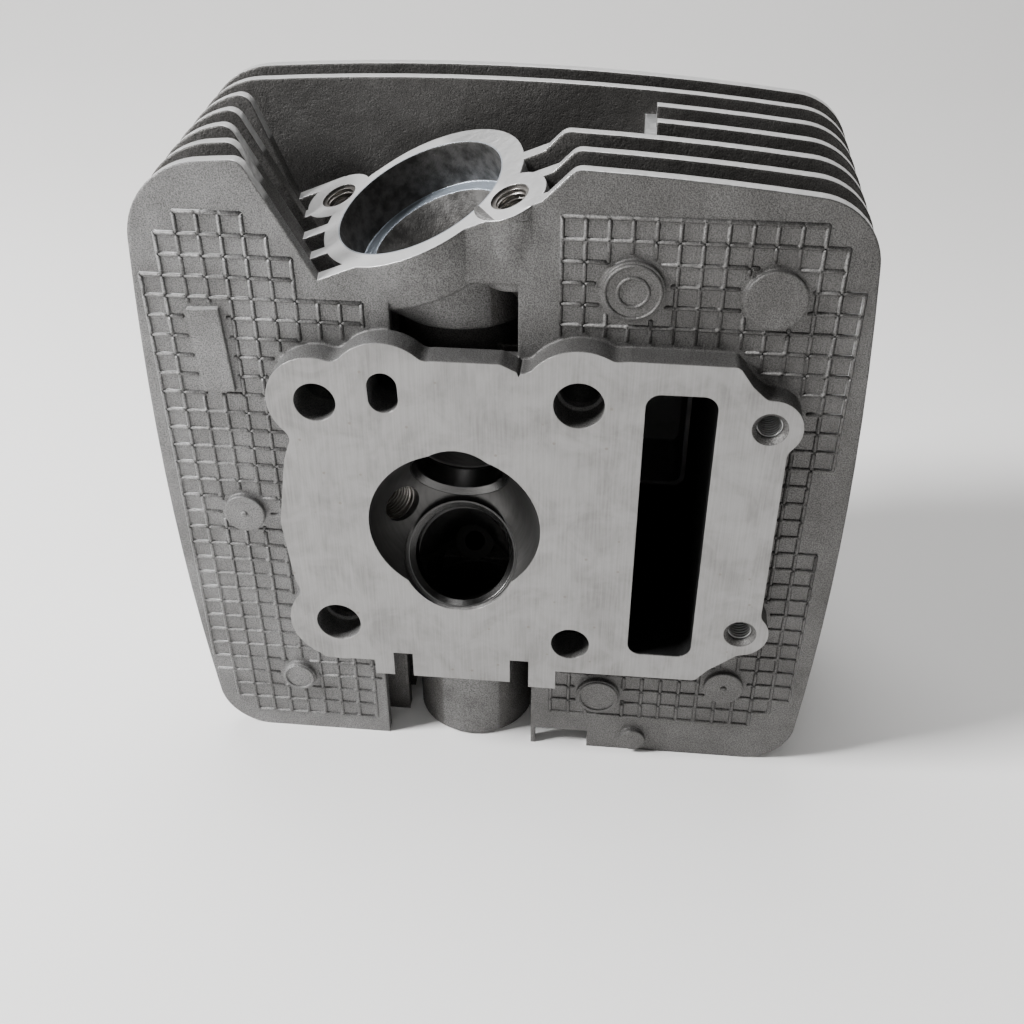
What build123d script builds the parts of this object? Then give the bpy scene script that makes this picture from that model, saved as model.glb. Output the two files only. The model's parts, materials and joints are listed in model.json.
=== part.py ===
from build123d import *
import os
from math import cos, radians, sin

os.makedirs("parts", exist_ok=True)

# Bare cylinder head of an air-cooled 125-class single, overhead camshaft, two valves.
# X runs along the camshaft towards the timing chain.
# Y is the cylinder bore direction, from the gasket face (y = 0) into the head.
# Z points to the exhaust side; the head stands on its intake side.
# The origin is the middle of the four cylinder studs, on the gasket face.

# ---- Driving dimensions, mm -------------------------------------------------

# Gasket face and deck
PAD_RAISE = 7.0            # height of the gasket face above the first fin
STUDS = [(-30.5, 33.6), (-30.5, -33.6), (31.0, 36.1), (31.0, -36.1)]
STUD_HOLE_R = 5.0
DOWEL_POCKET_R = 5.9
DOWEL_POCKET_DEPTH = 8.0
SIDE_HOLES = [(74.4, 32.4), (74.4, -28.9)]
OIL_HOLE = (-14.3, 36.9)
OIL_HOLE_DEPTH = 19.0

# Cooling fins
FIN_COUNT = 7
FIN_PITCH = 10.0
FIN_THICK = 3.0
FIN_GROWTH = 0.65          # each fin is this much taller than the one before
FIN_BASE_Z = -81.0         # all fins end level on the intake side
FIN_TIP_R = 3.5

# Timing chain tunnel
TUNNEL_X = (46.0, 62.4)
TUNNEL_Z = (-38.0, 40.0)
TUNNEL_WALL = 5.0

# Combustion chamber and valves
CHAMBER_CENTRE = (1.3, -0.4)
CHAMBER_R = 21.4
CHAMBER_DEPTH = 16.0
VALVE_ANGLE = 30.0         # each stem leans this far from the bore direction
INTAKE_SEAT = (1.9, 7.3, -14.0)
EXHAUST_SEAT = (2.0, 7.0, 11.2)
INTAKE_SEAT_R = 14.0
EXHAUST_SEAT_R = 12.3
INTAKE_THROAT_R = 12.2
EXHAUST_THROAT_R = 10.6
SEAT_HEIGHT = 7.0
GUIDE_R = 5.5
STEM_R = 2.75
GUIDE_START = 29.5         # distances along the stem, measured from the seat face
SPRING_FLOOR = 50.0
GUIDE_END = 60.0
SPRING_POCKET_R = 12.5

# Ports
INTAKE_AXIS = (2.8, 24.6)  # X and Y of the straight intake boss
INTAKE_PORT_R = 12.5
INTAKE_BOSS_R = 16.5
INTAKE_FACE_Z = -80.0
FLANGE_CENTRE = Vector(-8.5, 27.5, 73.7)
FLANGE_NORMAL = Vector(-0.364, -0.200, 0.910).normalized()
FLANGE_BOLT_LINE = Vector(0.828, -0.517, 0.218).normalized()
FLANGE_BOLT_HALF = 27.0
EXHAUST_BORE_R = 20.6
EXHAUST_BORE_DEPTH = 11.0
EXHAUST_PORT_R = 11.5

# Spark plug
PLUG_START = Vector(-13.1, 9.7, -0.9)
PLUG_DIR = Vector(-0.766, 0.643, 0.0).normalized()
PLUG_HOLE_R = 4.6
PLUG_SEAT = 14.5
PLUG_WELL_R = 11.5

# Cam box
JOINT_Y = 80.0
CAM_Y = 63.0
CAM_FLOOR_Y = 50.0
JOURNAL_R = 10.0
CAM_SEATS_X = [(-27.0, -16.0), (29.0, 40.0)]
CAP_BOLT_Z = 15.5
STUD_BOSS_Y = 64.0
STUD_RECESS_R = 9.6
COVER_HOLES = [(-37.0, 21.0), (-37.0, -21.0), (-10.5, 64.0), (15.5, 64.0),
               (-10.5, -62.0), (15.5, -62.0), (71.5, 38.0), (71.5, -36.0)]
COVER_DOWEL_HOLES = [COVER_HOLES[0], COVER_HOLES[7]]

# Cam cover
GASKET_THICK = 0.8
COVER_FLANGE_Y = 88.0
COVER_TOP_Y = 100.0
CHAIN_DOME_Y = 110.0
COVER_WALL = 4.0
TAPPET_HOLES = [(2.5, 41.5), (2.5, -40.5)]
TAPPET_HOLE_R = 10.0

# Oil gallery, drilled along X under the camshaft
GALLERY_Y = 45.0
GALLERY_Z = 18.0
GALLERY_X = (-46.0, 46.0)
GALLERY_R = 2.5


# ---- Helpers ----------------------------------------------------------------

def slab(sketch, y0, y1):
    """A plate between two depths; the sketch is drawn with x = X and y = Z."""
    start = Plane(origin=(0, y0, 0), x_dir=(1, 0, 0), z_dir=(0, -1, 0))
    return extrude(start * sketch, amount=y0 - y1)


def rod(start, direction, radius, length):
    return extrude(Plane(origin=start, z_dir=direction) * Circle(radius), amount=length)


def ring(start, direction, outer, inner, length):
    face = Circle(outer) - Circle(inner)
    return extrude(Plane(origin=start, z_dir=direction) * face, amount=length)


def cone(start, direction, radius0, radius1, length):
    place = Plane(origin=start, z_dir=direction)
    return place * Pos(0, 0, length / 2) * Cone(radius0, radius1, length)


def block(x, y, z):
    centre = Pos((x[0] + x[1]) / 2, (y[0] + y[1]) / 2, (z[0] + z[1]) / 2)
    return centre * Box(x[1] - x[0], y[1] - y[0], z[1] - z[0])


def rect(x, z):
    return Pos((x[0] + x[1]) / 2, (z[0] + z[1]) / 2) * Rectangle(x[1] - x[0], z[1] - z[0])


def disc(point, radius):
    return Pos(point[0], point[1]) * Circle(radius)


def soften(sketch, inside, outside):
    """Round the inside corners, then the outside corners, of an outline."""
    filled = offset(offset(sketch, inside), -inside)
    return offset(offset(filled, -outside), outside)


def stem(side):
    """Direction of a valve stem; side is -1 for intake and +1 for exhaust."""
    return Vector(0, cos(radians(VALVE_ANGLE)), side * sin(radians(VALVE_ANGLE)))


VALVES = {
    "intake": (Vector(*INTAKE_SEAT), stem(-1), INTAKE_SEAT_R, INTAKE_THROAT_R),
    "exhaust": (Vector(*EXHAUST_SEAT), stem(1), EXHAUST_SEAT_R, EXHAUST_THROAT_R),
}


# ---- Outlines ---------------------------------------------------------------

def pad_outline():
    main = make_face(Polyline(
        (-35, 30), (-39.6, 17), (-42.6, -1.6), (-40.9, -20), (-36, -34), (-35.5, -46.4),
        (64.3, -46), (67.5, -42), (73.4, -37.1), (79, -24), (79, 25), (73.8, 39.1),
        (69.4, 43.1), (66, 47.8), (42, 48), (31, 47), (18.4, 43.2), (13, 45.8),
        (-3, 45.8), (-20, 36), close=True))
    lobes = [disc(STUDS[0], 11.6), disc(STUDS[1], 13.0), disc(OIL_HOLE, 12.8),
             disc(STUDS[2], 13.8), disc(SIDE_HOLES[0], 7.5), disc(SIDE_HOLES[1], 7.2)]
    outline = soften(main + lobes, 3.0, 2.0)
    outline -= make_face(Polyline((14.6, 49), (17.2, 42.8), (19.8, 49), close=True))
    tabs = rect((20.1, 27.4), (-52.5, -40)) + rect((-21.6, 15.1), (-51.2, -40))
    return outline + tabs - rect((15.1, 20.1), (-54, -43.3)) - rect((-16.4, -11.2), (-54, -43.3))


def round_near(face, point, radius):
    """Round the one corner of an outline that lies nearest to a point."""
    corner = face.vertices().sort_by_distance((point[0], point[1], 0))[0]
    return fillet([corner], radius)


def fin_outline(k):
    """Nearly square plate with bulged sides; k counts from the gasket side."""
    g = FIN_GROWTH * k
    top_left = (-69.5, 86.0 + g)
    top_right = (92.0, 82.5 + g)
    low_right = (93.0, FIN_BASE_Z)
    low_left = (-68.5, FIN_BASE_Z)
    plate = make_face([
        ThreePointArc(top_left, (12, 88.8 + g), top_right),
        ThreePointArc(top_right, (96.6, 5), low_right),
        Line(low_right, low_left),
        ThreePointArc(low_left, (-73.4, 5), top_left),
    ])
    plate = round_near(plate, top_left, 20)
    plate = round_near(plate, top_right, 16)
    plate = round_near(plate, low_right, 14)
    return round_near(plate, low_left, 14)


def notch_ends(k):
    """Where the opening above the exhaust flange meets the top edge of fin k."""
    return -43.0 - 3.7 * min(k, 2.3), [28.2, 27.0, 23.1, 47.8, 48.3][k]


def notched_fin(k):
    """Outline of fin k with the opening above the exhaust flange cut out."""
    left, right = notch_ends(k)
    slope = 0.39 if k == 4 else 0.54
    points = [(left - slope * 20, 107.4), (left + slope * 39.8, 47.6)]
    if k < 3:
        points += [(right - 13, 47.6), (right - 13, 75)]
    else:
        points += [(right - 3, 47.6)]
    points += [(right - 2, 86), (right + 22, 110), (right + 22, 120), (left - slope * 20, 120)]
    return fin_outline(k) - make_face(Polyline(*points, close=True))


def cover_joint():
    """Outline shared by the top of the cam box, its gasket and the cover flange."""
    outline = fillet(rect((-34, 67), (-27, 27)).vertices(), 5)
    outline += fillet(rect((-15.5, 20.5), (-66, 68)).vertices(), 8)
    walls = rect((TUNNEL_X[0] - 4, TUNNEL_X[1] + TUNNEL_WALL), (TUNNEL_Z[0] - 5, TUNNEL_Z[1] + 5))
    outline += fillet(walls.vertices(), 6)
    outline += [disc(point, 6.5) for point in COVER_HOLES]
    return outline - [disc(point, STUD_RECESS_R) for point in STUDS]


def box_rooms():
    tunnel = fillet(rect(TUNNEL_X, TUNNEL_Z).vertices(), 3.5)
    shaft_room = fillet(rect((-29, TUNNEL_X[1]), (-22, 22)).vertices(), 3)
    rocker_room = fillet(rect((-10.5, 15.5), (-60, 62)).vertices(), 6)
    return tunnel, shaft_room, rocker_room


def cover_rooms():
    tunnel = fillet(rect((46, 61), (-37, 39)).vertices(), 3)
    shaft_room = fillet(rect((-25, 61), (-20, 20)).vertices(), 3)
    rocker_room = fillet(rect((-10.5, 15.5), (-51, 52)).vertices(), 6)
    return tunnel, shaft_room, rocker_room


# ---- Head casting -----------------------------------------------------------

def fins():
    below_flange = Plane(origin=FLANGE_CENTRE, z_dir=FLANGE_NORMAL * -1) * Pos(0, 0, 100) * Box(300, 300, 200)
    plates = []
    for k in range(FIN_COUNT):
        y = PAD_RAISE + FIN_PITCH * k
        plate = slab(fin_outline(k), y, y + FIN_THICK)
        if k < 5:
            stubs = plate & below_flange
            if k > 2:
                stubs -= block((-31, 45), (y - 1, y + FIN_THICK + 1), (56, 120))
            plate = slab(notched_fin(k), y, y + FIN_THICK)
            sharp = plate.edges().filter_by(Axis.Y)
            tips = [sharp.sort_by_distance((x, y, 88.5 + FIN_GROWTH * k))[0] for x in notch_ends(k)]
            plate = fillet(tips, FIN_TIP_R) + stubs
        if k < 4:
            gap = (-20.9, 20.4) if k == 0 else (-16.5, 22.0)
            plate -= block(gap, (y - 1, y + FIN_THICK + 1), (-90, -51.5))
        if k < 3:
            plate -= block((-13, 16.4), (y - 1, y + FIN_THICK + 1), (44 - 2 * k, 62))
        if k == 0:
            plate -= block((21.6, 36.5), (y - 1, y + FIN_THICK + 1), (-90, -75))
        plates.append(plate)
    # broken web between two fins behind the right end of the flange
    plates.append(block((42.5, 46.5), (38, 57), (66, 85)))
    return plates


def core():
    """Everything between the gasket face and the cam box that the fins hang on."""
    low = PAD_RAISE
    parts = [
        slab(pad_outline(), 0, PAD_RAISE),
        slab(disc((2.5, 0), 31), low, 30),
        block((-14, 20), (low, 52), (-30, 30)),
        slab(disc(OIL_HOLE, 8), low, 24),
    ]
    for point in STUDS:
        parts.append(slab(disc(point, 10), low, STUD_BOSS_Y))
    for point in SIDE_HOLES:
        parts.append(slab(disc(point, 7.9), low, 24))
    walls = rect((TUNNEL_X[0] - 4, TUNNEL_X[1] + TUNNEL_WALL), (TUNNEL_Z[0] - 5, TUNNEL_Z[1] + 5))
    parts.append(slab(fillet(walls.vertices(), 6), low, JOINT_Y))
    parts.append(rod(PLUG_START + PLUG_DIR * 6, PLUG_DIR, 14.5, 18))
    return parts


def cam_box():
    """Outer walls of the box behind the fins that carries the camshaft."""
    long_bar = fillet(rect((-34, 67), (-27, 27)).vertices(), 5)
    cross_bar = fillet(rect((-15.5, 20.5), (-66, 68)).vertices(), 8)
    parts = [slab(long_bar, CAM_FLOOR_Y - 4, JOINT_Y), slab(cross_bar, 54, JOINT_Y)]
    for seat, axis, radius, throat in VALVES.values():
        parts.append(rod(seat + axis * (SPRING_FLOOR - 9), axis, SPRING_POCKET_R + 4, 26))
    for point in COVER_HOLES:
        parts.append(slab(disc(point, 6.5), 60, JOINT_Y))
    parts.append(rod((-43, GALLERY_Y, GALLERY_Z), (1, 0, 0), 6.5, 84))
    return parts


def port_walls():
    down = FLANGE_NORMAL * -1
    across = FLANGE_NORMAL.cross(FLANGE_BOLT_LINE)
    intake_boss = rod((INTAKE_AXIS[0], INTAKE_AXIS[1], INTAKE_FACE_Z), (0, 0, 1), INTAKE_BOSS_R, 42)
    rim_centre = FLANGE_CENTRE - across * 1.2
    lower_ring = Plane(origin=(1.6, 25.0, 50.0), z_dir=(0, 0, 1)) * Circle(17)
    upper_ring = Plane(origin=rim_centre + down * 11, z_dir=FLANGE_NORMAL) * Circle(23.4)
    parts = [
        intake_boss,
        rod((1.4, 29.5, 28), (0, 0, 1), 15.5, 26),
        loft([lower_ring, upper_ring]),
        rod(rim_centre, down, 23.9, 12.4),
        rod(FLANGE_CENTRE + across * 1.5 + FLANGE_BOLT_LINE * 1.5, down, 23.9, 13),
        cone((14.6, 14, 60), (0, 0, 1), 6.5, 8.6, 17),
    ]
    for side in (-1, 1):
        centre = FLANGE_CENTRE + FLANGE_BOLT_LINE * (side * FLANGE_BOLT_HALF)
        parts.append(rod(centre, down, 8.5, 22))
    return parts


def face_marks():
    """Plain raised discs and a plain tablet cast on the first fin."""
    marks = [(41.6, 62.0, 7.1), (72.5, 61.3, 6.9), (-53.8, -3.8, 5.3),
             (-45.4, -60.0, 4.7), (39.1, -59.8, 6.0), (73.0, -53.5, 5.3), (49.5, -75.9, 3.6)]
    parts = []
    for x, z, radius in marks:
        parts.append(slab(disc((x, z), radius), PAD_RAISE - 1.6, PAD_RAISE + 1))
    tablet = Pos(-55.6, 42.6) * Rot(0, 0, 3) * Rectangle(7.6, 21.5)
    parts.append(slab(tablet, PAD_RAISE - 1.2, PAD_RAISE + 1))
    return parts


def exhaust_passage():
    seat, axis, radius, throat = VALVES["exhaust"]
    end = FLANGE_CENTRE - FLANGE_NORMAL * (EXHAUST_BORE_DEPTH + 8)
    path = Spline([seat, Vector(1.8, 19.5, 25.0), Vector(1.2, 27.5, 41.0), end],
                  tangents=[axis, FLANGE_NORMAL])
    return [
        sweep(Plane(origin=seat, z_dir=axis) * Circle(throat), path=path),
        rod(FLANGE_CENTRE + FLANGE_NORMAL, FLANGE_NORMAL * -1, EXHAUST_BORE_R, EXHAUST_BORE_DEPTH + 1),
        cone(FLANGE_CENTRE - FLANGE_NORMAL * EXHAUST_BORE_DEPTH, FLANGE_NORMAL * -1,
             17.0, EXHAUST_PORT_R - 0.6, 9),
    ]


def intake_passage():
    seat, axis, radius, throat = VALVES["intake"]
    end = Vector(INTAKE_AXIS[0], INTAKE_AXIS[1], -47.0)
    path = Spline([seat, Vector(2.2, 17.0, -25.0), end], tangents=[axis, Vector(0, 0, -1)])
    return [
        sweep(Plane(origin=seat, z_dir=axis) * Circle(throat), path=path),
        rod(end + Vector(0, 0, 1), (0, 0, -1), INTAKE_PORT_R, 40),
    ]


def chamber():
    ball_r = (CHAMBER_R ** 2 + CHAMBER_DEPTH ** 2) / (2 * CHAMBER_DEPTH)
    centre = (CHAMBER_CENTRE[0], CHAMBER_DEPTH - ball_r, CHAMBER_CENTRE[1])
    parts = [Pos(*centre) * Sphere(ball_r)]
    for seat, axis, radius, throat in VALVES.values():
        parts.append(rod(seat, axis * -1, radius + 0.7, 20))
    return parts


def valve_bores():
    parts = []
    for seat, axis, radius, throat in VALVES.values():
        parts.append(rod(seat, axis, radius, SEAT_HEIGHT))
        parts.append(rod(seat + axis * 20, axis, GUIDE_R, 40))
        parts.append(rod(seat + axis * SPRING_FLOOR, axis, SPRING_POCKET_R, 18))
    return parts


def box_inside():
    tunnel, shaft_room, rocker_room = box_rooms()
    return [
        slab(tunnel, -1, JOINT_Y + 1),
        slab(shaft_room, CAM_FLOOR_Y, JOINT_Y + 1),
        slab(rocker_room, 60, JOINT_Y + 1),
    ]


def cam_seats():
    parts = []
    for x0, x1 in CAM_SEATS_X:
        parts.append(block((x0, x1), (CAM_FLOOR_Y - 1, CAM_Y), (-23, 23)))
    return parts


def drillings():
    parts = []
    for x, z in STUDS:
        parts.append(slab(disc((x, z), STUD_HOLE_R), -1, STUD_BOSS_Y + 20))
        parts.append(slab(disc((x, z), STUD_RECESS_R), STUD_BOSS_Y, JOINT_Y + 1))
    for x, z in (STUDS[1], STUDS[2]):
        parts.append(slab(disc((x, z), DOWEL_POCKET_R), -1, DOWEL_POCKET_DEPTH))
    for x, z in SIDE_HOLES:
        parts.append(slab(disc((x, z), 3.0), -1, 16))
        parts.append(cone((x, -0.01, z), (0, 1, 0), 4.2, 3.0, 1.2))
    oil = Pos(*OIL_HOLE) * Rot(0, 0, 92) * SlotOverall(10.4, 7.1)
    parts.append(slab(oil, -1, OIL_HOLE_DEPTH))
    for x, z in COVER_HOLES:
        parts.append(slab(disc((x, z), 3.0), JOINT_Y - 14, JOINT_Y + 1))
    for x, z in COVER_DOWEL_HOLES:
        parts.append(slab(disc((x, z), 4.5), JOINT_Y - 5, JOINT_Y + 1))
    for side in (-1, 1):
        centre = FLANGE_CENTRE + FLANGE_BOLT_LINE * (side * FLANGE_BOLT_HALF)
        parts.append(rod(centre + FLANGE_NORMAL, FLANGE_NORMAL * -1, 4.5, 18))
    parts.append(rod(PLUG_START - PLUG_DIR * 6, PLUG_DIR, 4.9, 12))
    parts.append(rod(PLUG_START + PLUG_DIR * 1.5, PLUG_DIR, 5.6, PLUG_SEAT + 0.5))
    parts.append(rod(PLUG_START + PLUG_DIR * PLUG_SEAT, PLUG_DIR, PLUG_WELL_R, 90))
    return parts


def oil_ways():
    x0, x1 = GALLERY_X
    feed_start = Vector(OIL_HOLE[0], OIL_HOLE_DEPTH - 1, OIL_HOLE[1])
    feed = Vector(-16, GALLERY_Y, GALLERY_Z) - feed_start
    parts = [
        rod((x0 - 1, GALLERY_Y, GALLERY_Z), (1, 0, 0), GALLERY_R, x1 - x0 + 1.5),
        rod((x0 - 1, GALLERY_Y, GALLERY_Z), (1, 0, 0), 4.0, 12),
        rod((x0 - 10, GALLERY_Y, GALLERY_Z), (1, 0, 0), 7.6, 13),
        rod((x1 - 6, GALLERY_Y, GALLERY_Z), (1, 0, 0), 3.0, 7),
        rod(feed_start, feed.normalized(), 2.0, feed.length),
    ]
    for a, b in CAM_SEATS_X:
        start = Vector((a + b) / 2, GALLERY_Y, GALLERY_Z)
        rise = Vector((a + b) / 2, CAM_Y - 9.5, 0) - start
        parts.append(rod(start, rise.normalized(), 1.5, rise.length))
    return parts


def journal_bores():
    parts = [rod((-30, CAM_Y, 0), (1, 0, 0), JOURNAL_R, 73)]
    for x0, x1 in CAM_SEATS_X:
        for side in (-1, 1):
            hole = ((x0 + x1) / 2, side * CAP_BOLT_Z)
            parts.append(slab(disc(hole, 3.0), CAM_Y - 15, CAM_Y + 1))
            parts.append(slab(disc(hole, 4.5), CAM_Y - 4, CAM_Y + 1))
    return parts


def head_casting():
    head = Part() + fins() + core() + cam_box() + port_walls() + face_marks()
    head -= box_inside()
    head += cam_seats()
    head -= exhaust_passage()
    head -= intake_passage()
    head -= chamber()
    head -= valve_bores()
    head -= drillings()
    head -= oil_ways()
    head -= journal_bores()
    # relief behind the two slots in the lower edge of the gasket face
    head -= block((-16.4, -11.2), (-1, PAD_RAISE + 2), (-60, -48.5))
    head -= block((15.1, 20.1), (-1, PAD_RAISE + 2), (-60, -48.5))
    return head


# ---- Pieces fitted to the casting -------------------------------------------

def seat_ring(name):
    seat, axis, radius, throat = VALVES[name]
    body = ring(seat, axis, radius, throat, SEAT_HEIGHT)
    return body - cone(seat - axis * 0.01, axis, throat + 1.4, throat, 1.4)


def valve_guide(name):
    seat, axis, radius, throat = VALVES[name]
    length = GUIDE_END - GUIDE_START
    body = ring(seat + axis * GUIDE_START, axis, GUIDE_R, STEM_R, length)
    return body


def guide_clip(name):
    seat, axis, radius, throat = VALVES[name]
    return ring(seat + axis * SPRING_FLOOR, axis, GUIDE_R + 1.3, GUIDE_R, 1.2)


def spring_seat(name):
    seat, axis, radius, throat = VALVES[name]
    flat = ring(seat + axis * SPRING_FLOOR, axis, SPRING_POCKET_R - 0.4, GUIDE_R + 1.5, 1.6)
    lip = ring(seat + axis * (SPRING_FLOOR + 1.6), axis, GUIDE_R + 2.7, GUIDE_R + 1.5, 1.4)
    return flat + lip


def stem_seal(name):
    seat, axis, radius, throat = VALVES[name]
    sleeve = ring(seat + axis * (GUIDE_END - 5), axis, GUIDE_R + 1.2, GUIDE_R, 5)
    cap = ring(seat + axis * GUIDE_END, axis, GUIDE_R + 1.2, STEM_R + 0.15, 2.5)
    lip = ring(seat + axis * (GUIDE_END + 2.5), axis, GUIDE_R - 0.6, STEM_R + 0.15, 2.0)
    return sleeve + cap + lip


def exhaust_inserts():
    solids = []
    for side in (-1, 1):
        centre = FLANGE_CENTRE + FLANGE_BOLT_LINE * (side * FLANGE_BOLT_HALF)
        start = centre - FLANGE_NORMAL * 0.6
        solids.append(ring(start, FLANGE_NORMAL * -1, 4.5, 3.5, 15))
    return solids


def plug_insert():
    return ring(PLUG_START + PLUG_DIR * 1.5, PLUG_DIR, 5.6, PLUG_HOLE_R, PLUG_SEAT - 1.5)


def cam_cap(x0, x1):
    arch = rod((x0, CAM_Y, 0), (1, 0, 0), JOURNAL_R + 5, x1 - x0)
    arch += block((x0, x1), (CAM_Y, CAM_Y + 8), (-21.5, 21.5))
    arch -= block((x0 - 1, x1 + 1), (CAM_Y - 30, CAM_Y), (-30, 30))
    arch -= rod((x0 - 1, CAM_Y, 0), (1, 0, 0), JOURNAL_R, x1 - x0 + 2)
    for side in (-1, 1):
        hole = ((x0 + x1) / 2, side * CAP_BOLT_Z)
        arch -= slab(disc(hole, 3.3), CAM_Y - 1, CAM_Y + 20)
        arch -= slab(disc(hole, 4.5), CAM_Y - 1, CAM_Y + 4)
        arch -= slab(disc(hole, 5.6), CAM_Y + 8, CAM_Y + 20)
    return arch


def cap_bolts():
    solids = []
    for x0, x1 in CAM_SEATS_X:
        for side in (-1, 1):
            point = ((x0 + x1) / 2, side * CAP_BOLT_Z)
            shank = slab(disc(point, 3.0), CAM_Y - 14, CAM_Y + 8)
            collar = slab(disc(point, 5.5), CAM_Y + 8, CAM_Y + 9.2)
            hexagon = slab(Pos(*point) * RegularPolygon(4.6, 6), CAM_Y + 9.2, CAM_Y + 14)
            solids.append(shank + collar + hexagon)
    return solids


def cap_dowels():
    solids = []
    for x0, x1 in CAM_SEATS_X:
        for side in (-1, 1):
            point = ((x0 + x1) / 2, side * CAP_BOLT_Z)
            solids.append(slab(disc(point, 4.5) - disc(point, 3.4), CAM_Y - 4, CAM_Y + 4))
    return solids


def cover_dowels():
    solids = []
    for point in COVER_DOWEL_HOLES:
        solids.append(slab(disc(point, 4.5) - disc(point, 3.4), JOINT_Y - 5, JOINT_Y + 4))
    return solids


def cover_gasket():
    sheet = cover_joint() - list(box_rooms()) - [disc(point, 3.4) for point in COVER_HOLES]
    sheet -= [disc(point, 4.5) for point in COVER_DOWEL_HOLES]
    return slab(sheet, JOINT_Y, JOINT_Y + GASKET_THICK)


def cam_cover():
    base = JOINT_Y + GASKET_THICK
    tunnel, shaft_room, rocker_room = cover_rooms()
    rooms = tunnel + shaft_room + rocker_room
    cover = slab(cover_joint(), base, COVER_FLANGE_Y)
    cover += slab(offset(rooms, COVER_WALL), base, COVER_TOP_Y - 2)
    cover += slab(offset(rooms, COVER_WALL - 1.6), COVER_TOP_Y - 3, COVER_TOP_Y)
    cover += slab(offset(tunnel, COVER_WALL), base, CHAIN_DOME_Y - 2)
    cover += slab(offset(tunnel, COVER_WALL - 1.6), CHAIN_DOME_Y - 3, CHAIN_DOME_Y)
    cover -= slab(rooms, base - 1, COVER_TOP_Y - COVER_WALL)
    cover -= slab(tunnel, base - 1, CHAIN_DOME_Y - COVER_WALL)
    for point in COVER_HOLES:
        cover -= slab(disc(point, 3.4), base - 1, COVER_TOP_Y)
    for point in COVER_DOWEL_HOLES:
        cover -= slab(disc(point, 4.5), base - 1, JOINT_Y + 4)
    for point in TAPPET_HOLES:
        cover -= slab(disc(point, TAPPET_HOLE_R), COVER_TOP_Y - 6, COVER_TOP_Y + 1)
    return cover


def tappet_caps():
    solids = []
    for point in TAPPET_HOLES:
        thread = slab(disc(point, TAPPET_HOLE_R), COVER_TOP_Y - 3.5, COVER_TOP_Y)
        rim = slab(disc(point, TAPPET_HOLE_R + 2), COVER_TOP_Y, COVER_TOP_Y + 3)
        hexagon = slab(Pos(*point) * RegularPolygon(8.5, 6), COVER_TOP_Y + 3, COVER_TOP_Y + 9)
        solids.append(thread + rim + hexagon)
    return solids


def cover_screws():
    solids = []
    for point in COVER_HOLES:
        shank = slab(disc(point, 3.0), JOINT_Y - 13, COVER_FLANGE_Y)
        collar = slab(disc(point, 5.9), COVER_FLANGE_Y, COVER_FLANGE_Y + 1.2)
        hexagon = slab(Pos(*point) * RegularPolygon(4.6, 6), COVER_FLANGE_Y + 1.2, COVER_FLANGE_Y + 6)
        solids.append(shank + collar + hexagon)
    return solids


def gallery_plug():
    # threaded body in the gallery, hexagon head outside the washer
    x = GALLERY_X[0] + 3
    body = rod((x - 1.5, GALLERY_Y, GALLERY_Z), (1, 0, 0), 4.0, 9)
    place = Plane(origin=(x - 1.5, GALLERY_Y, GALLERY_Z), z_dir=(-1, 0, 0))
    return body + extrude(place * RegularPolygon(6.5, 6), amount=5)


def gallery_washer():
    return ring((GALLERY_X[0] + 3, GALLERY_Y, GALLERY_Z), (-1, 0, 0), 7.0, 4.0, 1.5)


def gallery_ball():
    return Pos(GALLERY_X[1] - 3.1, GALLERY_Y, GALLERY_Z) * Sphere(3.0)


nodes = {
    "head_casting": head_casting(),
    "intake_seat": seat_ring("intake"),
    "exhaust_seat": seat_ring("exhaust"),
    "intake_guide": valve_guide("intake"),
    "exhaust_guide": valve_guide("exhaust"),
    "intake_guide_clip": guide_clip("intake"),
    "exhaust_guide_clip": guide_clip("exhaust"),
    "intake_spring_seat": spring_seat("intake"),
    "exhaust_spring_seat": spring_seat("exhaust"),
    "intake_stem_seal": stem_seal("intake"),
    "exhaust_stem_seal": stem_seal("exhaust"),
    "exhaust_thread_inserts": Compound(children=exhaust_inserts()),
    "plug_thread_insert": plug_insert(),
    "far_side_cam_cap": cam_cap(*CAM_SEATS_X[0]),
    "chain_side_cam_cap": cam_cap(*CAM_SEATS_X[1]),
    "cam_cap_bolts": Compound(children=cap_bolts()),
    "cam_cap_dowels": Compound(children=cap_dowels()),
    "cover_dowels": Compound(children=cover_dowels()),
    "cam_cover_gasket": cover_gasket(),
    "cam_cover": cam_cover(),
    "cam_cover_screws": Compound(children=cover_screws()),
    "tappet_caps": Compound(children=tappet_caps()),
    "gallery_screw_plug": gallery_plug(),
    "gallery_plug_washer": gallery_washer(),
    "gallery_ball_plug": gallery_ball(),
}

for name, shape in nodes.items():
    export_step(shape, f"parts/{name}.step")
    box = shape.bounding_box()
    print(name, len(shape.solids()), round(shape.volume), box.min, box.max)
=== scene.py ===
import json
import math

import bmesh
import bpy
from mathutils import Euler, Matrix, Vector
from mathutils.bvhtree import BVHTree


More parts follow.
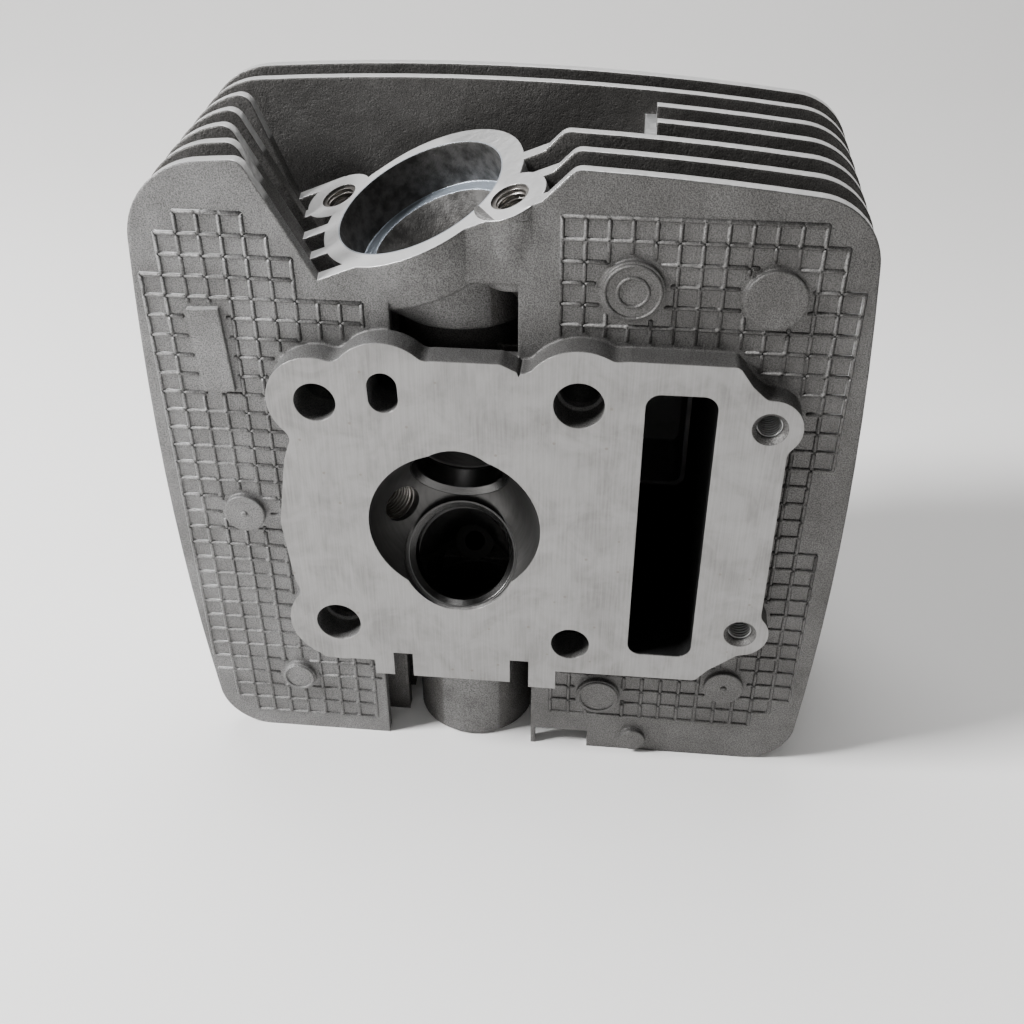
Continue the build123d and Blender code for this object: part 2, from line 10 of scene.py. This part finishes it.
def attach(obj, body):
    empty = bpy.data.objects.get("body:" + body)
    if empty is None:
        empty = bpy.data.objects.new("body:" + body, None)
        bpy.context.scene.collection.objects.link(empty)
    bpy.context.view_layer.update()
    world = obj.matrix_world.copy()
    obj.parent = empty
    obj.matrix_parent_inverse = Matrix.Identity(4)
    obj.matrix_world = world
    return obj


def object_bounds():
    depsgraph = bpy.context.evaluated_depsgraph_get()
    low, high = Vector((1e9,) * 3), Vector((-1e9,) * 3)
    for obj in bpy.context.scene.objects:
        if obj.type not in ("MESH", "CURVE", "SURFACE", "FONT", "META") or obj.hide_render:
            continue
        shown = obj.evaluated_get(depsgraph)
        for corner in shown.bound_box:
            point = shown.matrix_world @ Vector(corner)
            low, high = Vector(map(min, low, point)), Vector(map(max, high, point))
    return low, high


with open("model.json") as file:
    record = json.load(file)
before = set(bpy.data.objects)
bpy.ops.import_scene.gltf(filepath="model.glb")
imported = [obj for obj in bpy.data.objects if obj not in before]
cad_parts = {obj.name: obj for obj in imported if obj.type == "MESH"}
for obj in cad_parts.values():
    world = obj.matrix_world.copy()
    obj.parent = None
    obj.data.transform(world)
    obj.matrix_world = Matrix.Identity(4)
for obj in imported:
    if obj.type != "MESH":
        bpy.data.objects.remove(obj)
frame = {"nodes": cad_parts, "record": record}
cad_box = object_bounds()
record = frame["record"]
MM = 0.001
FLOOR_Z = cad_box[0].z
mounts = {m["name"]: m for m in record["mounts"]}


def mount_place(name):
    """Position and outward direction of one of the record's mounts."""
    mount = mounts[name]
    return Vector(mount["pos_m"]), Vector(mount["axis"]).normalized()


# ---- Node graphs ------------------------------------------------------------

class Graph:
    """Short calls for building one material's nodes. Lengths in the shader are in mm."""

    def __init__(self, name):
        self.material = bpy.data.materials.new(name)
        self.material.use_nodes = True
        self.tree = self.material.node_tree
        self.tree.nodes.clear()
        self.shader = self.tree.nodes.new("ShaderNodeBsdfPrincipled")
        out = self.tree.nodes.new("ShaderNodeOutputMaterial")
        self.tree.links.new(self.shader.outputs[0], out.inputs[0])
        coords = self.tree.nodes.new("ShaderNodeTexCoord")
        scale = self.tree.nodes.new("ShaderNodeVectorMath")
        scale.operation = "SCALE"
        scale.inputs["Scale"].default_value = 1000
        self.tree.links.new(coords.outputs["Object"], scale.inputs[0])
        self.place = scale.outputs[0]
        parts = self.tree.nodes.new("ShaderNodeSeparateXYZ")
        self.tree.links.new(self.place, parts.inputs[0])
        self.x, self.y, self.z = parts.outputs
        self.normal = coords.outputs["Normal"]

    def put(self, socket, value):
        if isinstance(value, bpy.types.NodeSocket):
            self.tree.links.new(value, socket)
        elif isinstance(value, (tuple, list, Vector)) and len(value) == 3 and socket.type == "RGBA":
            socket.default_value = (*value, 1)
        else:
            socket.default_value = value

    def math(self, operation, a, b=0.0, clamp=False):
        node = self.tree.nodes.new("ShaderNodeMath")
        node.operation = operation
        node.use_clamp = clamp
        self.put(node.inputs[0], a)
        self.put(node.inputs[1], b)
        return node.outputs[0]

    def mul(self, *values):
        total = values[0]
        for value in values[1:]:
            total = self.math("MULTIPLY", total, value)
        return total

    def either(self, *values):
        total = values[0]
        for value in values[1:]:
            total = self.math("MAXIMUM", total, value)
        return total

    def flip(self, value):
        return self.math("SUBTRACT", 1.0, value)

    def ramp(self, value, low, high, out_low=0.0, out_high=1.0):
        """Smooth step from out_low at low to out_high at high."""
        node = self.tree.nodes.new("ShaderNodeMapRange")
        node.interpolation_type = "SMOOTHSTEP"
        self.put(node.inputs["Value"], value)
        for name, number in (("From Min", low), ("From Max", high),
                             ("To Min", out_low), ("To Max", out_high)):
            node.inputs[name].default_value = number
        return node.outputs[0]

    def blend(self, factor, a, b, kind="MIX"):
        node = self.tree.nodes.new("ShaderNodeMix")
        node.data_type = "RGBA"
        node.blend_type = kind
        self.put(node.inputs["Factor"], factor)
        self.put(node.inputs["A"], a)
        self.put(node.inputs["B"], b)
        return node.outputs["Result"]

    def mix(self, factor, a, b):
        node = self.tree.nodes.new("ShaderNodeMix")
        self.put(node.inputs["Factor"], factor)
        self.put(node.inputs["A"], a)
        self.put(node.inputs["B"], b)
        return node.outputs["Result"]

    def noise(self, size, detail=3.0, roughness=0.55, stretch=None, distortion=0.0):
        """Noise with features about size mm across."""
        node = self.tree.nodes.new("ShaderNodeTexNoise")
        place = self.place
        if stretch:
            squeeze = self.tree.nodes.new("ShaderNodeVectorMath")
            squeeze.operation = "MULTIPLY"
            self.tree.links.new(place, squeeze.inputs[0])
            squeeze.inputs[1].default_value = stretch
            place = squeeze.outputs[0]
        self.tree.links.new(place, node.inputs["Vector"])
        node.inputs["Scale"].default_value = 1.0 / size
        node.inputs["Detail"].default_value = detail
        node.inputs["Roughness"].default_value = roughness
        node.inputs["Distortion"].default_value = distortion
        return node.outputs["Fac"]

    def cells(self, size, kind="F1"):
        node = self.tree.nodes.new("ShaderNodeTexVoronoi")
        node.feature = kind
        self.tree.links.new(self.place, node.inputs["Vector"])
        node.inputs["Scale"].default_value = 1.0 / size
        return node.outputs["Distance"]

    def dot(self, a, b):
        node = self.tree.nodes.new("ShaderNodeVectorMath")
        node.operation = "DOT_PRODUCT"
        self.put(node.inputs[0], a)
        self.put(node.inputs[1], b)
        return node.outputs["Value"]

    def away_from_line(self, point, direction):
        """Distance in mm from a line through point, given in mm."""
        shift = self.tree.nodes.new("ShaderNodeVectorMath")
        shift.operation = "SUBTRACT"
        self.tree.links.new(self.place, shift.inputs[0])
        shift.inputs[1].default_value = point
        cross = self.tree.nodes.new("ShaderNodeVectorMath")
        cross.operation = "CROSS_PRODUCT"
        self.tree.links.new(shift.outputs[0], cross.inputs[0])
        cross.inputs[1].default_value = direction
        length = self.tree.nodes.new("ShaderNodeVectorMath")
        length.operation = "LENGTH"
        self.tree.links.new(cross.outputs[0], length.inputs[0])
        return length.outputs["Value"], self.dot(shift.outputs[0], direction)

    def round_edges(self, radius):
        node = self.tree.nodes.new("ShaderNodeBevel")
        node.samples = 6
        self.put(node.inputs["Radius"], radius)
        return node.outputs["Normal"]

    def bump(self, height, depth, normal=None):
        """Raise the surface by height times depth mm."""
        node = self.tree.nodes.new("ShaderNodeBump")
        node.inputs["Strength"].default_value = 1.0
        node.inputs["Distance"].default_value = depth * MM
        self.put(node.inputs["Height"], height)
        if normal is not None:
            self.put(node.inputs["Normal"], normal)
        return node.outputs["Normal"]

    def finish(self, colour, roughness, metallic, normal):
        self.put(self.shader.inputs["Base Color"], colour)
        self.put(self.shader.inputs["Roughness"], roughness)
        self.put(self.shader.inputs["Metallic"], metallic)
        self.put(self.shader.inputs["Normal"], normal)
        return self.material


# ---- Materials --------------------------------------------------------------

def grey(value, warm=0.0):
    return (value * (1 + warm), value, value * (1 - warm))


def casting_material():
    """Shot-blasted alloy, with the machined faces, the bores and the dark inside picked out by place; the
    dark inside, the fin gaps and the right-hand side are painted shade, and a step in the exhaust bore
    carries a painted glint.
    """
    g = Graph("cast_alloy")
    facing = g.tree.nodes.new("ShaderNodeSeparateXYZ")
    g.tree.links.new(g.normal, facing.inputs[0])
    ny, nz = facing.outputs[1], facing.outputs[2]

    # where each finish is, and where the painted shade and the painted glint go
    gasket = g.mul(g.ramp(g.y, 0.3, 0.15), g.ramp(ny, -0.8, -0.95))
    flange_point, flange_way = mount_place("exhaust_face")
    flange_height = g.math("SUBTRACT", g.dot(g.place, flange_way), flange_point.dot(flange_way) * 1000)
    flange_turn = g.dot(g.normal, flange_way)
    flange = g.mul(g.ramp(flange_height, -0.5, -0.2), g.ramp(flange_turn, 0.9, 0.97))
    port_away, port_along = g.away_from_line(flange_point * 1000, flange_way)
    bore_wall = g.mul(g.ramp(port_away, 21.0, 20.8), g.ramp(port_along, 0.2, -0.2),
                      g.ramp(port_along, -19.0, -12.5))
    bore_step_glint = g.mul(bore_wall, g.ramp(flange_turn, 0.55, 0.8))
    intake = g.mul(g.ramp(g.z, -79.6, -79.9), g.ramp(g.z, -80.6, -80.3), g.ramp(nz, -0.8, -0.95))
    edge_on = g.ramp(g.math("ABSOLUTE", ny), 0.6, 0.3)
    outer = g.either(g.ramp(g.x, -63.5, -65.0), g.ramp(g.x, 87.5, 89.0), g.ramp(g.z, 79.0, 80.5),
                     g.ramp(g.z, -80.0, -80.6))
    rims = g.mul(edge_on, outer, g.ramp(g.y, 6.5, 6.9), g.ramp(g.y, 70.5, 70.1))
    chamber_away, chamber_along = g.away_from_line((1.3, 0, -0.4), (0, 1, 0))
    chamber = g.mul(g.ramp(chamber_away, 26.0, 25.0), g.ramp(g.y, 0.15, 0.3), g.ramp(g.y, 24.0, 18.0))
    passages = g.mul(g.ramp(chamber_away, 30.0, 24.0), g.ramp(g.y, 14.0, 19.0),
                     g.ramp(g.math("ABSOLUTE", g.z), 78.0, 76.0))
    tunnel = g.mul(g.ramp(g.x, 45.7, 45.9), g.ramp(g.x, 62.7, 62.5), g.ramp(g.z, -38.3, -38.1),
                   g.ramp(g.z, 40.3, 40.1), g.ramp(g.y, 0.15, 0.4))
    machined = g.either(gasket, intake, flange)
    # painted shade: the fins past the first one and the gaps between them, where they shade each other
    painted_gap_shade = g.mul(g.ramp(g.y, 9.9, 10.6), g.ramp(g.y, 69.95, 69.6), g.flip(g.either(machined, rims)))

    # shot-blasted skin: fine grain and soft mottling; then painted shade, darker towards the chain side
    # on the right, away from the key light, and darker on the fins past the first one
    grain = g.noise(0.32, 2.0, 0.6)
    pits = g.cells(0.9)
    cloud = g.noise(14.0, 4.0, 0.6)
    patch = g.noise(3.2, 3.0, 0.6)
    cast = g.blend(g.ramp(cloud, 0.3, 0.7), grey(0.200, 0.014), grey(0.275, 0.008))
    cast = g.blend(g.ramp(grain, 0.35, 0.7), cast, grey(0.50), "MULTIPLY")
    cast = g.blend(g.ramp(patch, 0.55, 0.8, 0.0, 0.25), cast, grey(0.20, 0.03))
    # painted shade: the casting is painted darker towards the right, the side turned away from the key
    # light
    painted_lit_side = g.ramp(g.x, 60.0, -60.0, 0.0, 1.0)
    cast = g.blend(painted_lit_side, g.blend(1.0, cast, grey(0.62, 0.014), "MULTIPLY"), cast)
    # painted shade: darkens the fins and gaps past the first fin
    cast = g.blend(painted_gap_shade, cast, g.blend(1.0, cast, grey(0.58, 0.02), "MULTIPLY"))

    # milled faces: light, cloudy, with fine cutter lines and a few stains
    lines = g.noise(0.5, 2.0, 0.5, stretch=(1.0, 1.0, 0.04))
    stain = g.noise(11.0, 5.0, 0.65, distortion=0.6)
    specks = g.cells(5.5)
    milled = g.blend(g.ramp(stain, 0.35, 0.75), grey(0.26, 0.016), grey(0.185, 0.024))
    milled = g.blend(g.ramp(lines, 0.3, 0.7, 0.0, 0.30), milled, grey(0.36, 0.014))
    milled = g.blend(g.ramp(specks, 0.09, 0.05, 0.0, 0.8), milled, grey(0.18, 0.1))

    colour = g.blend(machined, cast, milled)
    colour = g.blend(flange, colour, g.blend(stain, grey(0.74), grey(0.90)))
    colour = g.blend(rims, colour, g.blend(stain, grey(0.62), grey(0.78)))
    # painted shade: the exhaust bore walls are painted dark and the deep passages near black
    dark = g.blend(g.ramp(patch, 0.3, 0.7), grey(0.05, 0.04), grey(0.14, 0.03))
    dark = g.blend(passages, dark, grey(0.012))
    colour = g.blend(g.either(bore_wall, passages), colour, dark)
    # painted reflection: a pale bluish glint on the step inside the exhaust bore
    colour = g.blend(bore_step_glint, colour, (0.46, 0.52, 0.60))
    rings = g.noise(0.6, 2.0, 0.5, stretch=(0.1, 1.0, 0.1))
    gunmetal = g.blend(rings, grey(0.052, 0.02), grey(0.100, 0.02))
    colour = g.blend(chamber, colour, gunmetal)
    # painted shade: the chain tunnel is painted near black, as it sits in deep shade
    colour = g.blend(tunnel, colour, grey(0.012))

    roughness = g.mix(machined, g.mix(g.ramp(grain, 0.3, 0.7), 0.50, 0.66), g.mix(stain, 0.34, 0.48))
    roughness = g.mix(rims, roughness, 0.36)
    roughness = g.mix(g.either(bore_wall, passages, tunnel), roughness, 0.7)
    roughness = g.mix(g.either(chamber, bore_step_glint), roughness, 0.38)

    rough_skin = g.flip(g.either(machined, rims, chamber))
    edges = g.round_edges(g.mix(g.either(machined, chamber), 0.9 * MM, 0.25 * MM))
    height = g.math("ADD", g.mul(grain, 0.7), g.mul(g.ramp(pits, 0.0, 0.5), 0.3))
    normal = g.bump(g.mul(height, rough_skin), 0.16, edges)
    waves = g.mul(g.noise(2.6, 2.0, 0.5), g.either(rims, g.mul(rough_skin, 0.5)))
    normal = g.bump(waves, 0.35, normal)
    normal = g.bump(g.mul(lines, machined), 0.012, normal)
    return g.finish(colour, roughness, 0.85, normal)
# Plain metal with machining marks or grain, slight stains and rounded edges.


def metal_material(name, tone, warm=0.0, rough=0.35, grain=0.4, stretch=None, depth=0.02,
                   metallic=1.0, stain=0.25):
    """Plain metal with machining marks or grain, slight stains and worn edges."""
    g = Graph(name)
    fine = g.noise(grain, 3.0, 0.6, stretch=stretch)
    cloud = g.noise(grain * 16, 4.0, 0.6)
    colour = g.blend(fine, grey(tone * 0.86, warm), grey(tone * 1.1, warm))
    colour = g.blend(g.ramp(cloud, 0.45, 0.75, 0.0, stain), colour, grey(tone * 0.45, warm + 0.04))
    roughness = g.mix(fine, rough * 0.8, rough * 1.25)
    normal = g.bump(fine, depth, g.round_edges(0.25 * MM))
    return g.finish(colour, roughness, metallic, normal)


def soft_material(name, low, high):
    g = Graph(name)
    fine = g.noise(0.5, 3.0, 0.6)
    cloud = g.noise(4.0, 3.0, 0.6)
    colour = g.blend(cloud, low, high)
    roughness = g.mix(fine, 0.45, 0.7)
    normal = g.bump(fine, 0.03, g.round_edges(0.3 * MM))
    return g.finish(colour, roughness, 0.0, normal)


looks = {
    "cast_alloy": casting_material(),
    "cap_alloy": metal_material("cap_alloy", 0.55, rough=0.42, grain=0.6, stretch=(1, 1, 0.06)),
    "cover_alloy": metal_material("cover_alloy", 0.21, 0.01, rough=0.58, grain=0.35, depth=0.12,
                                  metallic=0.85),
    "seat_steel": metal_material("seat_steel", 0.10, 0.01, rough=0.24, grain=0.25, stain=0.35),
    # near black: painted shade on the valve guides, which sit deep inside the ports
    "guide_iron": metal_material("guide_iron", 0.020, 0.03, rough=0.6, grain=0.4),
    "spring_steel": metal_material("spring_steel", 0.36, rough=0.36, grain=0.5),
    "seal_rubber": soft_material("seal_rubber", (0.020, 0.050, 0.034), (0.035, 0.075, 0.052)),
    "gasket_sheet": soft_material("gasket_sheet", (0.030, 0.030, 0.032), (0.055, 0.054, 0.052)),
    "stainless": metal_material("stainless", 0.36, 0.05, rough=0.3, grain=0.3, stain=0.5),
    "zinc_steel": metal_material("zinc_steel", 0.58, 0.01, rough=0.3, grain=0.5),
    "soft_aluminium": metal_material("soft_aluminium", 0.74, rough=0.34, grain=0.5),
}
for part in record["subparts"]:
    node = frame["nodes"][part["node"]]
    node.data.materials.clear()
    node.data.materials.append(looks[part["material_slot"]])


# ---- Small cast and threaded details ----------------------------------------

def add_piece(name, bm, look):
    """Turn a bmesh in mm into a piece that rides on the head."""
    mesh = bpy.data.meshes.new(name)
    bmesh.ops.scale(bm, vec=(MM, MM, MM), verts=bm.verts)
    bmesh.ops.recalc_face_normals(bm, faces=bm.faces)
    bm.to_mesh(mesh)
    bm.free()
    for face in mesh.polygons:
        face.use_smooth = True
    mesh.materials.append(looks[look])
    piece = bpy.data.objects.new(name, mesh)
    bpy.context.scene.collection.objects.link(piece)
    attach(piece, "root")
    return piece


casting = frame["nodes"]["head_casting"]
surface = BVHTree.FromPolygons(
    [v.co.copy() for v in casting.data.vertices],
    [tuple(p.vertices) for p in casting.data.polygons])
FIN_FACE_Y = 7.0


def depth_at(x, z):
    """Depth of the first surface met going in from the gasket side, in mm."""
    hit = surface.ray_cast(Vector((x * MM, -0.02, z * MM)), Vector((0, 1, 0)))[0]
    return hit.y / MM if hit is not None else 999.0


def on_fin_face(x, z, margin=1.3):
    around = [(0, 0)] + [(margin * math.cos(a * math.pi / 4), margin * math.sin(a * math.pi / 4))
                         for a in range(8)]
    return all(abs(depth_at(x + dx, z + dz) - FIN_FACE_Y) < 0.06 for dx, dz in around)


RIB_PROFILE = [(-0.62, 0.05), (-0.42, -0.22), (-0.2, -0.42), (0.2, -0.42), (0.42, -0.22), (0.62, 0.05)]


def add_rib(bm, start, end):
    """Low rounded rib on the first fin, between two (x, z) points."""
    a, b = Vector((start[0], 0, start[1])), Vector((end[0], 0, end[1]))
    along = (b - a).normalized()
    side = Vector((-along.z, 0, along.x))
    stations = [(a - along * 0.45, 0.0), (a, 1.0), (b, 1.0), (b + along * 0.45, 0.0)]
    rows = []
    for point, height in stations:
        row = []
        for across, up in RIB_PROFILE:
            depth = FIN_FACE_Y + (up if up > 0 else up * height + (0.05 * (1 - height)))
            spread = across * (0.55 + 0.45 * height)
            spot = point + side * spread
            row.append(bm.verts.new((spot.x, depth, spot.z)))
        rows.append(row)
    for lower, upper in zip(rows, rows[1:]):
        for i in range(len(RIB_PROFILE) - 1):
            bm.faces.new((lower[i], lower[i + 1], upper[i + 1], upper[i]))
        bm.faces.new((lower[-1], lower[0], upper[0], upper[-1]))
    bm.faces.new(rows[0])
    bm.faces.new(rows[-1])


GRID_PITCH = 5.04
GRID_COLUMNS = range(-2, 20)
SAME_SPOT = 1e-4


def grid_lines(origin, spans):
    """Borders of the cells in a lattice; spans gives first and last column for each row, from the top."""
    pitch = GRID_PITCH
    cells = {(i, j) for j, (first, last) in enumerate(spans) for i in range(first, last)}
    lines = []
    for j in range(len(spans) + 1):
        for i in GRID_COLUMNS:
            if (i, j) in cells or (i, j - 1) in cells:
                z = origin[1] - pitch * j
                lines.append(((origin[0] + pitch * i, z), (origin[0] + pitch * (i + 1), z)))
    for i in GRID_COLUMNS:
        for j in range(len(spans)):
            if (i, j) in cells or (i - 1, j) in cells:
                x = origin[0] + pitch * i
                lines.append(((x, origin[1] - pitch * j), (x, origin[1] - pitch * (j + 1))))
    return lines


def join_runs(lines):
    """Join end-to-end lattice borders into long straight runs."""
    def upright(line):
        return abs(line[0][0] - line[1][0]) < SAME_SPOT

    def order(line):
        x, z = line[0]
        return upright(line), round(x if upright(line) else z, 3), x, -z

    runs = []
    for start, end in sorted(lines, key=order):
        last = runs[-1] if runs else None
        same_way = last and upright(last) == upright((start, end))
        if same_way and (Vector(last[1]) - Vector(start)).length < SAME_SPOT:
            last[1] = end
        else:
            runs.append([start, end])
    return runs


def visible_parts(start, end, step=0.25):
    """The stretches of a run that lie on the open face of the fin."""
    a, b = Vector(start), Vector(end)
    count = max(2, int((b - a).length / step))
    parts, begun, before = [], None, None
    for k in range(count + 1):
        spot = a.lerp(b, k / count)
        if on_fin_face(spot.x, spot.y):
            if begun is None:
                begun = spot
            before = spot
        elif begun is not None:
            parts.append((begun, before))
            begun = None
    if begun is not None:
        parts.append((begun, before))
    return [(p, q) for p, q in parts if (q - p).length > 1.2]


def face_grid():
    """Square net of low ribs cast on the first fin, either side of the gasket face."""
    right = [(0, 11), (0, 12), (0, 12)] + [(0, 13)] * 9 + [(0, 12)] * 5 + [(0, 13)] * 9
    right += [(0, 13), (0, 12), (0, 11)]
    left = [(1, 4), (0, 5), (0, 6), (-1, 6), (-1, 9)] + [(-1, 9)] * 22 + [(0, 8), (0, 8), (1, 8)]
    bm = bmesh.new()
    for origin, spans in (((25.8, 78.2), right), ((-64.6, 76.0), left)):
        for start, end in join_runs(grid_lines(origin, spans)):
            for a, b in visible_parts(start, end):
                add_rib(bm, a, b)
    return add_piece("face_grid", bm, "cast_alloy")


def spin_ring(bm, centre, radius, profile, segments=40):
    """Solid of revolution about Y from (distance out, depth) pairs round a closed loop."""
    rows = []
    for k in range(segments):
        turn = 2 * math.pi * k / segments
        rows.append([bm.verts.new((centre[0] + (radius + out) * math.cos(turn), depth,
                                   centre[1] + (radius + out) * math.sin(turn)))
                     for out, depth in profile])
    count = len(profile)
    for k in range(segments):
        one, two = rows[k], rows[(k + 1) % segments]
        for i in range(count):
            bm.faces.new((one[i], one[(i + 1) % count], two[(i + 1) % count], two[i]))


def disc_details():
    """Raised rings and centre dots on the plain discs of the first fin."""
    bm = bmesh.new()
    top = FIN_FACE_Y - 1.6
    rim = [(-0.5, top + 0.1), (-0.35, top - 0.3), (0.35, top - 0.3), (0.5, top + 0.1)]
    for x, z, radius in ((41.6, 62.0, 6.2), (41.6, 62.0, 3.4), (-45.4, -60.0, 4.0), (39.1, -59.8, 5.2)):
        spin_ring(bm, (x, z), radius, rim)
    for x, z in ((-53.8, -3.8), (73.0, -53.5)):
        ball = bmesh.ops.create_uvsphere(bm, u_segments=20, v_segments=10, radius=0.9)
        bmesh.ops.scale(bm, vec=(1, 0.6, 1), verts=ball["verts"])
        bmesh.ops.translate(bm, vec=(x, top, z), verts=ball["verts"])
    return add_piece("disc_details", bm, "cast_alloy")


def add_thread(bm, mouth, inward, radius, pitch, length, depth=0.45, segments=28):
    """Helical ridge standing in from the wall of a round hole; all lengths in mm."""
    inward = inward.normalized()
    side = inward.orthogonal().normalized()
    other = inward.cross(side)
    rows = []
    for k in range(int(segments * length / pitch) + 1):
        turn = 2 * math.pi * k / segments
        out = side * math.cos(turn) + other * math.sin(turn)
        centre = mouth + inward * (0.4 + pitch * k / segments)
        rows.append([bm.verts.new(centre + out * (radius + 0.04) - inward * pitch * 0.36),
                     bm.verts.new(centre + out * (radius - depth)),
                     bm.verts.new(centre + out * (radius + 0.04) + inward * pitch * 0.36)])
    for one, two in zip(rows, rows[1:]):
        for i in range(3):
            bm.faces.new((one[i], one[(i + 1) % 3], two[(i + 1) % 3], two[i]))
    bm.faces.new(rows[0])
    bm.faces.new(rows[-1])


def thread_ridges():
    """Thread forms in the tapped holes that can be seen from the front."""
    bm = bmesh.new()
    # the plug's thread is seen from the chamber, the end that its mount's axis points away from
    for name, pitch, inward in (("exhaust_stud_thread_rear", 1.25, -1),
                                ("exhaust_stud_thread_front", 1.25, -1),
                                ("plug_thread", 1.0, 1)):
        place, way = mount_place(name)
        dims = mounts[name]["dims"]
        mouth = place / MM - way * inward * (dims["length_mm"] / 2 - 0.3)
        add_thread(bm, mouth, way * inward, dims["r_mm"], pitch, dims["length_mm"] - 1.0)
    add_piece("steel_threads", bm, "stainless")

    bm = bmesh.new()
    place, way = mount_place("side_screw_holes")
    dims = mounts["side_screw_holes"]["dims"]
    for side in (-1, 1):
        z = place.z / MM + side * dims["spacing_y_mm"] / 2
        add_thread(bm, Vector((place.x / MM, 1.4, z)), -way, dims["hole_r_mm"], 1.0, 11.0, 0.4)
    add_piece("alloy_threads", bm, "cap_alloy")


face_grid()
disc_details()
thread_ridges()


# ---- Floor, light, camera ---------------------------------------------------

def floor_sweep():
    """Pale floor that curves up into a backdrop."""
    bm = bmesh.new()
    profile = [(-1.6, FLOOR_Z), (0.7, FLOOR_Z)]
    for k in range(1, 13):
        turn = math.pi / 2 * k / 12
        profile.append((0.7 + 0.9 * math.sin(turn), FLOOR_Z + 0.9 * (1 - math.cos(turn))))
    profile.append((1.6, FLOOR_Z + 2.4))
    rows = [[bm.verts.new((x, y, z)) for y, z in profile] for x in (-3.0, 3.0)]
    for i in range(len(profile) - 1):
        bm.faces.new((rows[0][i], rows[1][i], rows[1][i + 1], rows[0][i + 1]))
    mesh = bpy.data.meshes.new("floor")
    bm.to_mesh(mesh)
    bm.free()
    for face in mesh.polygons:
        face.use_smooth = True
    g = Graph("floor_paper")
    tone = g.blend(g.noise(60.0, 2.0, 0.5), grey(0.84, 0.010), grey(0.87, 0.010))
    # painted shade: the floor darkens towards the back and towards the right, away from the key light
    tone = g.blend(g.ramp(g.y, 60.0, 520.0), tone, grey(0.66, 0.014))
    tone = g.blend(g.ramp(g.x, 0.0, 400.0, 0.0, 0.5), tone, grey(0.66, 0.014))
    mesh.materials.append(g.finish(tone, 0.75, 0.0, g.bump(g.noise(1.5, 2.0), 0.02)))
    piece = bpy.data.objects.new("floor", mesh)
    bpy.context.scene.collection.objects.link(piece)


def area_light(name, place, target, size, power):
    light = bpy.data.lights.new(name, "AREA")
    light.shape = "RECTANGLE"
    light.size, light.size_y = size
    light.energy = power
    piece = bpy.data.objects.new(name, light)
    piece.location = place
    piece.rotation_euler = (Vector(target) - Vector(place)).to_track_quat("-Z", "Y").to_euler()
    bpy.context.scene.collection.objects.link(piece)


floor_sweep()
area_light("key", (-1.15, -0.3, 0.9), (0, 0, 0), (0.35, 0.35), 58)
area_light("top", (-0.2, 0.5, 1.6), (0, 0, 0), (1.0, 0.8), 18)
area_light("front", (-0.3, -1.6, 0.7), (0, 0, 0), (1.2, 0.8), 3)

world = bpy.data.worlds.new("studio")
world.use_nodes = True
background = world.node_tree.nodes["Background"]
background.inputs[0].default_value = (1.0, 1.0, 0.98, 1)
background.inputs[1].default_value = 0.20
bpy.context.scene.world = world

lens = bpy.data.cameras.new("camera")
lens.lens = 41.33
lens.sensor_width = 36
lens.clip_start, lens.clip_end = 0.01, 20
camera = bpy.data.objects.new("camera", lens)
camera.location = (0.0386, -0.2317, 0.1716)
camera.rotation_euler = Euler((math.radians(54.5), 0, math.radians(5.643)))
bpy.context.scene.collection.objects.link(camera)
bpy.context.scene.camera = camera
